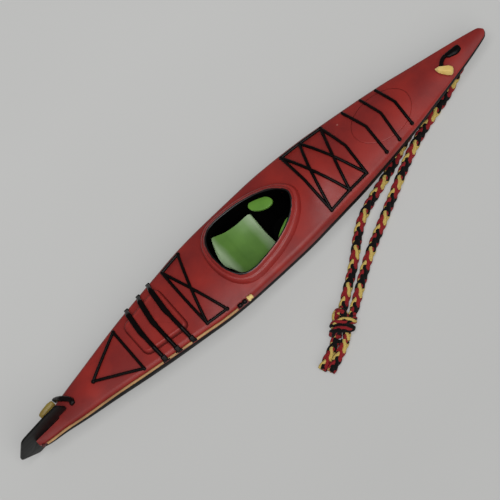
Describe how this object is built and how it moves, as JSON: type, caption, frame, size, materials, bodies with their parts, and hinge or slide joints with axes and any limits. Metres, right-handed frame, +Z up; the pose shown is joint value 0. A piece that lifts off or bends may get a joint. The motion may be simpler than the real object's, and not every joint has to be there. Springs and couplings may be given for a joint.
{
  "type": "sea kayak ornament",
  "caption": "Small painted sea kayak with a cockpit, hatches, deck lines, a lifting rudder plate and a knotted hanging cord.",
  "frame": {"origin": "on the flat strip under the hull, on the centre line, half way between bow tip and stern tip", "axes": "+X towards the bow, +Y to port, +Z up"},
  "size_m": [0.1666, 0.0541, 0.0155],
  "materials": {
    "deck_red": "satin painted red over a casting",
    "hull_black": "satin painted black over a casting",
    "seat_green": "glossy green paint",
    "line_black": "painted black, slightly glossy",
    "fitting_black": "painted black",
    "line_tan": "painted tan, matte",
    "toggle_yellow": "painted ochre yellow with worn edges",
    "rudder_grey": "dark grey thin plate with a dull sheen",
    "pin_steel": "plain turned steel",
    "cord_braid": "braided cord in red, black and yellow"
  },
  "bodies": {
    "boat": {"aft_deck_lacing": "line_black", "aft_hatch_cover": "deck_red", "bow_grab_line": "line_black", "bow_line_anchor": "fitting_black", "bow_toggle": "toggle_yellow", "coaming": "deck_red", "cord_knot": "cord_braid", "cord_leg_aft": "cord_braid", "cord_leg_fore": "cord_braid", "cord_tail_1": "cord_braid", "cord_tail_2": "cord_braid", "deck": "deck_red", "fore_bungee_1": "line_black", "fore_bungee_2": "line_black", "fore_bungee_3": "line_black", "fore_hatch_cover": "deck_red", "foredeck_lacing": "line_black", "hatch_strap_1": "line_black", "hatch_strap_2": "line_black", "hatch_strap_3": "line_black", "hull": "hull_black", "rudder_line": "line_tan", "rudder_line_clip": "fitting_black", "rudder_line_knob": "toggle_yellow", "rudder_pin": "pin_steel", "seat": "seat_green", "stern_deck_line": "line_black", "stern_grab_line": "line_black", "stern_line_anchor": "fitting_black", "stern_toggle": "toggle_yellow", "strap_anchor_port_1": "fitting_black", "strap_anchor_port_2": "fitting_black", "strap_anchor_port_3": "fitting_black", "strap_anchor_starboard_1": "fitting_black", "strap_anchor_starboard_2": "fitting_black", "strap_anchor_starboard_3": "fitting_black", "thigh_brace_port": "seat_green", "thigh_brace_starboard": "seat_green"},
    "rudder": {"rudder_blade": "rudder_grey"}
  },
  "joints": [
    {"name": "rudder_lift", "type": "hinge", "parent": "boat", "child": "rudder", "pos_m": [-0.0792, 0, 0.0083], "axis": [0, -1, 0], "range_deg": [0, 150]}
  ]
}
